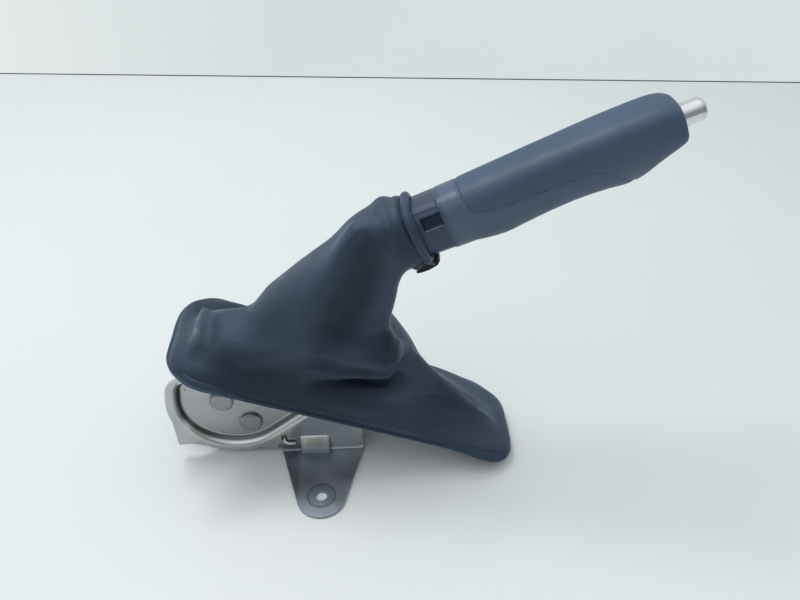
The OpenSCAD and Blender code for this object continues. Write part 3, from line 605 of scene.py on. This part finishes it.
def make_boot():
    """The gaiter: its loft, moved out by folds, dents and a collar, tucked in at the neck and thickened."""
    base, length = boot_base()
    turn = np.linspace(0, 2 * math.pi, BOOT_ROUND, endpoint=False)
    below = smooth_step(0.4, 0.9, np.cos(turn))
    up = np.linspace(0, length, BOOT_UP)[:, None] * np.ones((1, BOOT_ROUND))
    left = length - up
    free = smooth_step(0, 12, up) * smooth_step(0, 14, left)
    folds = fold_height(base)
    dents = 1.2 * cloud(base, 34, 1) + 0.35 * cloud(base, 13, 2)
    collar = 2.3 * np.exp(-((left - 8) / 4.6) ** 2) - 1.2 * np.exp(-((left - 1.5) / 2) ** 2)
    tight = 0.7 * below * np.exp(-(left / 13) ** 2)
    stand = (folds + dents) * free + collar * (1 - 0.9 * below) - tight
    outer = settle(base + grid_normals(base) * stand[..., None])
    end = outer[-1]
    middle = end.mean(0)
    tuck = [middle + (end - middle) * share + np.array(GRIP_AXIS) * step for share, step in NECK_TUCK]
    outer = np.concatenate([outer, np.array(tuck)])
    inner = outer - grid_normals(outer) * SKIN
    faces = grid_faces(2 * len(outer), BOOT_ROUND, round_rows=True)
    boot = piece("boot_leather", np.concatenate([outer, inner[::-1]]), faces, LEATHER)
    # Painted light with some wear on the ridges, painted shade in the valleys.
    wear_and_shading = smooth_step(-6, 3, (folds + 0.7 * dents) * free) * (1 - painted_shade(base))
    # The second layer is the creases' pale line, partly scuff and partly painted highlight.
    for name, values in (("wear_and_shading", wear_and_shading), ("scuff_and_highlight", crease_highlight(base) * free)):
        layer = boot.data.attributes.new(name, "FLOAT", "POINT")
        every = np.zeros((2 * len(outer), BOOT_ROUND), np.float32)
        every[:BOOT_UP] = values
        layer.data.foreach_set("value", every.ravel())
    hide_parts("boot")
    return boot


# Hem of the gaiter, as a closed profile of outward and upward places carried round its rounded rectangle

HEM_HALF_WIDTH = 38.4
HEM_CORNER = 26.0
HEM_PROFILE = [(-2.4, 0.4), (-1.2, 0.4), (-0.6, -0.4), (0.0, -1.6), (0.4, -2.5), (0.5, -3.1), (1.3, -3.2),
               (2.1, -3.4), (2.5, -3.8), (2.2, -4.2), (1.4, -4.5), (-0.4, -4.6), (-2.0, -4.4), (-2.7, -3.2),
               (-2.8, -0.7)]
HEM_STEPS = 360


def hem_path():
    a, b, r = HEM_LENGTH / 2, HEM_HALF_WIDTH, HEM_CORNER
    path = []
    for sx, sy, start in ((1, 1, 0), (-1, 1, 90), (-1, -1, 180), (1, -1, 270)):
        for t in np.radians(np.linspace(start, start + 90, 40)):
            path.append((sx * (a - r) + r * math.cos(t), sy * (b - r) + r * math.sin(t)))
    path.append(path[0])
    path = even_points(np.array(path), HEM_STEPS)
    along = np.roll(path, -1, 0) - np.roll(path, 1, 0)
    facing = np.stack([along[:, 1], -along[:, 0]], 1)
    return path, facing / np.linalg.norm(facing, axis=1, keepdims=True)


def make_hem():
    path, facing = hem_path()
    profile = even_points(np.array(HEM_PROFILE + HEM_PROFILE[:1]), 36)
    turn = np.linspace(0, 2 * math.pi, HEM_STEPS, endpoint=False)
    swell = 0.08 * waves(turn, (19, 33, 47), 8)
    rows = []
    for out, up in profile:
        wide = out + swell * smooth_step(-0.5, 1.2, out)
        rows.append(np.stack([path[:, 0] + facing[:, 0] * wide, path[:, 1] + facing[:, 1] * wide,
                              np.full(HEM_STEPS, up)], 1))
    points = settle(to_hem(np.array(rows)))
    faces = grid_faces(len(profile), HEM_STEPS, round_rows=True)
    return piece("boot_hem_band", points, faces, LIT_HEM_LEATHER, "bracket", ("boot_hem",))


# Rolled neck of the gaiter round the grip sleeve

NECK_MIDDLE = -4.7
NECK_HEIGHT = 18.3
NECK_WIDTH = 16.8
ROLL_PLACE = -1.6
ROLL_HALF_LENGTH = 2.9
ROLL_HALF_THICK = 2.6
ROLL_OUT = 2.7
ROLL_THINNER_BELOW = 1.3
ROLL_IN_BELOW = 1.2


def neck_oval(angle, out):
    """A point of the neck's oval, offset outwards, in the grip's y and z."""
    c, s = np.cos(angle), np.sin(angle)
    return ((NECK_WIDTH + out) * np.sign(s) * np.abs(s) ** 0.8,
            NECK_MIDDLE + (NECK_HEIGHT + out) * np.sign(c) * np.abs(c) ** 0.8)


# Two loose ends of the roll that lie over the clip, as middle lines in grip coordinates
TABS = [
    [(-2.8, -15.6, -12.0), (-2.5, -16.2, -16.0), (-1.7, -15.9, -20.0), (-0.9, -14.4, -23.4),
     (-0.5, -12.4, -26.0)],
    [(-13.2, -14.6, -14.5), (-12.4, -15.2, -18.0), (-11.3, -14.4, -21.4), (-10.2, -12.8, -24.4)],
]
TAB_HALF_WIDTH = 1.8
TAB_HALF_THICK = 0.6
TAB_STEPS = 18
TAB_SIDES = 14


def make_tab(line):
    """Points of a flat strip with rounded edges along a line in grip coordinates."""
    knots = np.array(line)
    middle = spline_rows(knots, np.arange(len(knots), dtype=float), TAB_STEPS)
    along = np.gradient(middle, axis=0)
    along /= np.linalg.norm(along, axis=1, keepdims=True)
    across = np.array([1.0, 0.0, 0.0]) - along * along[:, :1]
    across /= np.linalg.norm(across, axis=1, keepdims=True)
    out = np.cross(across, along)
    round_end = np.sqrt(np.clip(1 - np.linspace(-0.6, 1, TAB_STEPS).clip(0) ** 6, 0.02, 1))
    rows = []
    for t in np.linspace(0, 2 * math.pi, TAB_SIDES, endpoint=False):
        wide = TAB_HALF_WIDTH * math.copysign(abs(math.cos(t)) ** 0.6, math.cos(t)) * round_end
        thick = TAB_HALF_THICK * math.sin(t)
        rows.append(middle + across * wide[:, None] + out * thick)
    return to_grip(np.array(rows))


def make_neck_ring():
    steps, sides = 240, 22
    angle = np.linspace(0, 2 * math.pi, steps, endpoint=False)
    fat = 1 + 0.03 * waves(angle, (5, 9, 14), 11)
    sway = 0.3 * waves(angle, (2, 3, 5), 12)
    under = smooth_step(0.5, 0.9, -np.cos(angle))
    rows = []
    for t in np.linspace(0, 2 * math.pi, sides, endpoint=False):
        thick = (ROLL_HALF_THICK - ROLL_THINNER_BELOW * under) * fat
        out = ROLL_OUT + thick * math.sin(t) - ROLL_IN_BELOW * under
        x = ROLL_PLACE + sway + ROLL_HALF_LENGTH * fat * math.cos(t)
        y, z = neck_oval(angle, out)
        rows.append(np.stack([x, y, z], 1))
    points = [to_grip(np.array(rows)).reshape(-1, 3)]
    faces = grid_faces(sides, steps, round_rows=True)
    for line in TABS:
        strip = make_tab(line)
        first = sum(len(part) for part in points)
        for face in grid_faces(TAB_SIDES, TAB_STEPS, round_cols=False, round_rows=True):
            faces.append(tuple(first + k for k in face))
        points.append(strip.reshape(-1, 3))
    points = np.concatenate(points)
    return piece("neck_roll", points, faces, LIT_HEM_LEATHER, "lever", ("neck_ring",))


# Grip

# Each row: place along the grip, top, bottom, half width and roundness of the upper half.
GRIP_ROWS = [
    (30.0, 15.2, -24.5, 17.0, 2.5), (38.0, 15.3, -26.0, 17.3, 2.6), (48.0, 15.4, -27.0, 17.6, 2.7),
    (62.0, 15.6, -25.5, 17.6, 2.9), (78.0, 16.0, -23.8, 17.5, 3.1), (95.0, 16.3, -23.0, 17.5, 3.3),
    (112.0, 16.5, -24.0, 17.8, 3.5), (126.0, 16.5, -25.6, 18.0, 3.6), (134.0, 16.4, -24.2, 18.0, 3.6),
    (144.0, 16.2, -19.6, 17.8, 3.6), (152.0, 15.7, -16.2, 17.3, 3.5), (157.0, 14.4, -14.4, 16.6, 3.3),
    (160.0, 12.6, -13.2, 15.6, 3.1), (161.4, 11.2, -12.2, 14.4, 2.9), (162.0, 10.0, -11.2, 13.2, 2.7),
]
GRIP_START = 30.0
GRIP_END = 162.0
GRIP_ROUND = 224
GRIP_MIDDLE = -3.0
BORE = 7.7
BORE_DEPTH = 4
LOWER_ROUNDNESS = 2.4
# The seam seen from the side, as places along the grip and up
SEAM = [(30.4, 24.0), (31.0, 18.0), (32.0, 11.0), (33.2, 6.5), (35.0, 3.2), (37.2, 1.3), (40.0, 0.2),
        (48.0, -1.5), (72.0, -2.2), (96.0, -3.0), (104.0, -3.2), (108.0, -3.7), (113.0, -6.2), (120.0, -13.0),
        (127.0, -20.0), (131.0, -28.0)]
SEAM_DEPTH = 0.55
SEAM_WIDTH = 0.55
INSERT_SUNK = 0.35
BLOCK = 4000


def grip_ring(row, count):
    x, top, bottom, width, roundness = row
    upper = quarter_arc(roundness) * [width, top - GRIP_MIDDLE]
    lower = quarter_arc(LOWER_ROUNDNESS) * [width, GRIP_MIDDLE - bottom]
    sides = [upper, upper[::-1] * [-1, 1], lower * [-1, -1], lower[::-1] * [1, -1]]
    flat = np.concatenate([even_points(side, count // 4) for side in sides])
    return np.stack([np.full(count, x), flat[:, 0], GRIP_MIDDLE + flat[:, 1]], 1)


def seam_gap(points):
    """Distance from the seam seen from the side, and whether the point lies under it."""
    knots = np.array(SEAM)
    line = even_points(knots, 400)
    flat = points.reshape(-1, 3)[:, [0, 2]]
    gap = np.full(len(flat), 1e9)
    for start in range(0, len(flat), BLOCK):
        part = flat[start:start + BLOCK]
        gap[start:start + BLOCK] = np.linalg.norm(part[:, None] - line[None], axis=2).min(1)
    under = (flat[:, 0] < knots[-1, 0]) & (flat[:, 1] < np.interp(flat[:, 0], knots[:, 0], knots[:, 1]))
    return gap.reshape(points.shape[:-1]), under.reshape(points.shape[:-1])


def grip_caps(last):
    """Rings that close the grip's end down to the button's bore."""
    mid = np.array([GRIP_END, 0, 0])
    caps = []
    for share in (0.93, 0.84, 0.76):
        ring = mid + (last - mid) * share
        ring[:, 0] = GRIP_END + 0.35 * smooth_step(1, 0.76, share)
        caps.append(ring)
    facing = last[:, 1:] / np.linalg.norm(last[:, 1:], axis=1, keepdims=True)
    bore = np.column_stack([np.full(GRIP_ROUND, GRIP_END + 0.2), BORE * facing])
    return np.array([*caps, bore, bore - [BORE_DEPTH, 0, 0]])


def make_grip():
    """Cover and insert share one fine skin, parted at the bottom of the seam's groove."""
    rows = np.array(GRIP_ROWS)
    at = np.unique(np.concatenate([np.linspace(GRIP_START, 159, 216), np.linspace(159, GRIP_END, 16)]))
    skin = np.stack([grip_ring(row, GRIP_ROUND) for row in spline_rows(rows, rows[:, 0], at)])
    gap, under = seam_gap(skin)
    groove = SEAM_DEPTH * np.exp(-(gap / SEAM_WIDTH) ** 2)
    step = np.where(under, INSERT_SUNK * smooth_step(4, 0, gap), 0)
    first = np.where(under, 0, 0.3 * np.exp(-((skin[..., 0] - GRIP_START) / 0.6) ** 2))
    skin = skin - grid_normals(skin) * (groove + step + first)[..., None]
    skin = np.concatenate([skin, grip_caps(skin[-1])])
    faces = np.array(grid_faces(len(skin), GRIP_ROUND))
    flat = skin.reshape(-1, 3)
    _, below = seam_gap(flat[faces].mean(1))
    points = to_grip(flat)
    for name, choice, material, node in (("grip_upper", ~below, COVER_PLASTIC, "grip_cover"),
                                         ("grip_lower", below, INSERT_PLASTIC, "grip_insert")):
        used, index = np.unique(faces[choice], return_inverse=True)
        piece(name, points[used], index.reshape(-1, 4).tolist(), material, "lever", (node,))


# Sleeve below the grip, with a step and a pocket on each side

# Each row: place along the grip, top, bottom and half width.
SLEEVE_ROWS = [(-8.0, 13.6, -23.0, 16.8), (5.0, 13.7, -23.2, 16.8), (16.0, 13.8, -23.4, 16.8),
               (17.4, 14.8, -24.2, 17.0), (24.0, 15.0, -24.4, 17.0), (30.0, 15.1, -24.5, 17.0)]
SLEEVE_ROUNDNESS = 2.5
SLEEVE_ROUND = 260
SLEEVE_STEPS = 120
# Middle of the pocket along and up, and its half sizes
POCKET = (10.6, 5.0, 6.5, 4.0)
POCKET_DEPTH = 4.4
RIB_HEIGHT = 0.6
RIB_UP = 11.6


def make_sleeve():
    rows = np.array(SLEEVE_ROWS)
    at = np.linspace(rows[0, 0], rows[-1, 0], SLEEVE_STEPS)
    found = np.stack([np.interp(at, rows[:, 0], rows[:, k]) for k in range(4)], 1)
    skin = np.array([grip_ring((*row, SLEEVE_ROUNDNESS), SLEEVE_ROUND) for row in found])
    px, pz, half_x, half_z = POCKET
    box = np.maximum(np.abs(skin[..., 0] - px) / half_x, np.abs(skin[..., 2] - pz) / half_z)
    sunk = POCKET_DEPTH * (1 - smooth_step(0.86, 1.0, box)) * (np.abs(skin[..., 1]) > 8)
    rib = RIB_HEIGHT * np.exp(-((skin[..., 2] - RIB_UP) / 0.5) ** 2) * smooth_step(18, 15, skin[..., 0])
    points = to_grip(skin - grid_normals(skin) * (sunk - rib)[..., None])
    faces = grid_faces(SLEEVE_STEPS, SLEEVE_ROUND)
    sleeve = piece("sleeve_collar", points, faces, SLEEVE_PLASTIC, "lever", ("grip_sleeve",))
    # The pockets' floors take the darker plastic as painted shade.
    sleeve.data.materials.append(POCKET_SHADE)
    deep = sunk.ravel()[np.array(faces)].min(1) > 0.05 * POCKET_DEPTH
    sleeve.data.polygons.foreach_set("material_index", deep.astype(np.int32))


# Push button, turned about the grip's axis

BUTTON_PROFILE = [(146.0, 2.3), (146.0, 6.8), (146.5, 7.3), (160.0, 7.3), (171.6, 7.3), (172.6, 7.22),
                  (173.6, 7.0), (174.8, 6.4), (175.8, 5.5), (176.6, 4.3), (177.1, 2.8), (177.4, 1.2),
                  (177.5, 0.02)]
BUTTON_ROUND = 96


def make_button():
    turn = np.linspace(0, 2 * math.pi, BUTTON_ROUND, endpoint=False)
    rows = []
    for x, r in BUTTON_PROFILE:
        rows.append(np.stack([np.full(BUTTON_ROUND, x), r * np.cos(turn), r * np.sin(turn)], 1))
    points = to_grip(np.array(rows))
    faces = grid_faces(len(rows), BUTTON_ROUND)
    piece("push_button", points, faces, CHROME, "button_body", ("button",))


# Carried-over metal and plastic

SHOWN = {
    "near_side_plate": PLATE_STEEL,
    "far_side_plate": PLATE_STEEL,
    "ratchet_sector": ZINC,
    "sector_spacers": ZINC,
    "sector_rivets": RIVET_STEEL,
    "pivot_pin": RIVET_STEEL,
    "lever_return_spring": SPRING_STEEL,
    "lever_arm": DARK_STEEL,
    "lever_tube": DARK_STEEL,
    "pivot_bushes": BUSH_PLASTIC,
    "pawl_pin": ZINC,
    "cable_pin": ZINC,
    "pawl": DARK_STEEL,
    "pawl_spring": SPRING_STEEL,
    "button_bush": BLACK_PLASTIC,
    "push_rod": ZINC,
    "button_spring": SPRING_STEEL,
    "neck_clip": BLACK_PLASTIC,
}
# Width of the rounding of the edges, in millimetres
ROUNDED = {
    "near_side_plate": 0.5,
    "far_side_plate": 0.5,
    "sector_rivets": 0.5,
    "pivot_pin": 0.5,
    "ratchet_sector": 0.25,
    "lever_arm": 0.4,
    "neck_clip": 0.5,
    "pawl": 0.25,
    "button_bush": 0.3,
}


def dress_cad():
    for name, material in SHOWN.items():
        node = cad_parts[name]
        node.data.materials.clear()
        node.data.materials.append(material)
        node.data.polygons.foreach_set("use_smooth", [True] * len(node.data.polygons))
        weld = node.modifiers.new("weld", "WELD")
        weld.merge_threshold = 1e-6
        if name in ROUNDED:
            bevel = node.modifiers.new("bevel", "BEVEL")
            bevel.width = ROUNDED[name] * MM
            bevel.segments = 2
            bevel.limit_method = "ANGLE"
            bevel.angle_limit = math.radians(32)
        node.modifiers.new("normals", "WEIGHTED_NORMAL")


# Table, back wall, light and camera

TABLE_BACK = ((-3.0, 1.009), (3.0, 0.509))
TABLE_FRONT = -2.5
TABLE_GAP = 0.005
WALL_FOOT = -0.01
WALL_TOP = 2.5
WALL_LEAN = 0.4


def stage_plane(name, corners, material):
    mesh = bpy.data.meshes.new(name)
    mesh.from_pydata(corners, [], [(0, 1, 2, 3)])
    mesh.materials.append(material)
    obj = bpy.data.objects.new(name, mesh)
    bpy.context.scene.collection.objects.link(obj)


def make_pale(name, dark, light, roughness):
    m = Nodes(name, roughness, specular=0.3)
    m.colour(m.ramp(m.noise(1.2, 3), [(0.3, dark), (0.7, light)]))
    m.bump((m.noise(260, 3), 0.0001))
    return m.material


def make_backdrop(name, colour, painted_light_left):
    """Glowing pale to the eye and in reflections, painted paler towards the left as painted light, and a
    plain wall to the light.
    """
    m = Nodes(name, 0.7, specular=0.2)
    tint = m.ramp(m.noise(1.2, 3), [(0.3, tuple(0.96 * c for c in colour)), (0.7, colour)])
    x, _, _ = m.split(m.place)
    # Painted light: the wall turns paler towards the left.
    tint = m.mix(m.spread(x, -0.8, -0.1, 1.0, 0.0), tint, painted_light_left)
    m.colour(tint)
    glow = m.add("ShaderNodeEmission", Strength=1.0)
    m.link(tint, glow.inputs["Color"])
    path = m.add("ShaderNodeLightPath")
    seen = m.maths("MAXIMUM", path.outputs["Is Camera Ray"], path.outputs["Is Glossy Ray"])
    both = m.add("ShaderNodeMixShader")
    m.link(seen, both.inputs["Fac"])
    m.link(m.shader.outputs["BSDF"], both.inputs[1])
    m.link(glow.outputs["Emission"], both.inputs[2])
    m.link(both.outputs["Shader"], m.tree.nodes["Material Output"].inputs["Surface"])
    return m.material


def make_stage():
    table = make_pale("table_top", (0.77, 0.8, 0.795), (0.81, 0.84, 0.835), 0.45)
    wall = make_backdrop("back_wall", (0.68, 0.74, 0.75), (0.83, 0.87, 0.865))
    # A dark strip along the table's back edge: painted shade of the gap before the wall.
    gap = make_pale("table_gap_shade", (0.05, 0.055, 0.06), (0.07, 0.075, 0.08), 0.8)
    (x0, y0), (x1, y1) = TABLE_BACK
    edge, lean = TABLE_GAP, WALL_LEAN
    stage_plane("floor", [(x0, TABLE_FRONT, 0), (x1, TABLE_FRONT, 0), (x1, y1, 0), (x0, y0, 0)], table)
    stage_plane("gap", [(x0, y0, 0), (x1, y1, 0), (x1, y1 + edge, 0), (x0, y0 + edge, 0)], gap)
    stage_plane("wall", [(x0, y0 + edge, WALL_FOOT), (x1, y1 + edge, WALL_FOOT), (x1, y1 + lean, WALL_TOP),
                         (x0, y0 + lean, WALL_TOP)], wall)


def area_light(name, place, aim, size, energy, colour):
    data = bpy.data.lights.new(name, "AREA")
    data.shape = "RECTANGLE"
    data.size, data.size_y = size
    data.energy = energy
    data.color = colour
    obj = bpy.data.objects.new(name, data)
    obj.location = place
    obj.rotation_euler = (Vector(aim) - Vector(place)).to_track_quat("-Z", "Y").to_euler()
    bpy.context.scene.collection.objects.link(obj)


ROOM_DARK = (0.28, 0.285, 0.295)
ROOM_LIGHT = (1.03, 1.07, 1.1)


def make_light():
    area_light("ceiling", (-0.42, 0.34, 1.42), (0.03, 0.0, 0.05), (0.7, 0.16), 7.8, (0.98, 0.99, 1.0))
    world = bpy.data.worlds.new("room")
    bpy.context.scene.world = world
    world.use_nodes = True
    tree = world.node_tree
    back = tree.nodes["Background"]
    place = tree.nodes.new("ShaderNodeTexCoord")
    split = tree.nodes.new("ShaderNodeSeparateXYZ")
    tree.links.new(place.outputs["Generated"], split.inputs["Vector"])
    height = split.outputs["Z"]
    for axis, share in (("X", -0.3), ("Y", 0.35)):
        lean = tree.nodes.new("ShaderNodeMath")
        lean.operation = "MULTIPLY_ADD"
        tree.links.new(split.outputs[axis], lean.inputs[0])
        lean.inputs[1].default_value = share
        tree.links.new(height, lean.inputs[2])
        height = lean.outputs["Value"]
    shade = tree.nodes.new("ShaderNodeValToRGB")
    marks = shade.color_ramp.elements
    marks[0].position, marks[0].color = 0.1, (*ROOM_DARK, 1)
    marks[1].position, marks[1].color = 0.85, (*ROOM_LIGHT, 1)
    tree.links.new(height, shade.inputs["Fac"])
    tree.links.new(shade.outputs["Color"], back.inputs["Color"])
    back.inputs["Strength"].default_value = 1.0
    bpy.context.scene.view_settings.view_transform = "Standard"


CAMERA_PLACE = (0.03971, -0.36869, 0.41786)
CAMERA_TURN = (math.radians(52), 0, math.radians(-3))
CAMERA_LENS = 31.5


def make_camera():
    data = bpy.data.cameras.new("camera")
    data.sensor_width = 36
    data.lens = CAMERA_LENS
    data.clip_start = 0.01
    obj = bpy.data.objects.new("camera", data)
    obj.location = CAMERA_PLACE
    obj.rotation_euler = CAMERA_TURN
    bpy.context.scene.collection.objects.link(obj)
    bpy.context.scene.camera = obj


dress_cad()
boot = make_boot()
hem = make_hem()
neck = make_neck_ring()
make_grip()
make_sleeve()
make_button()
make_stage()
make_light()
make_camera()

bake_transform(boot)
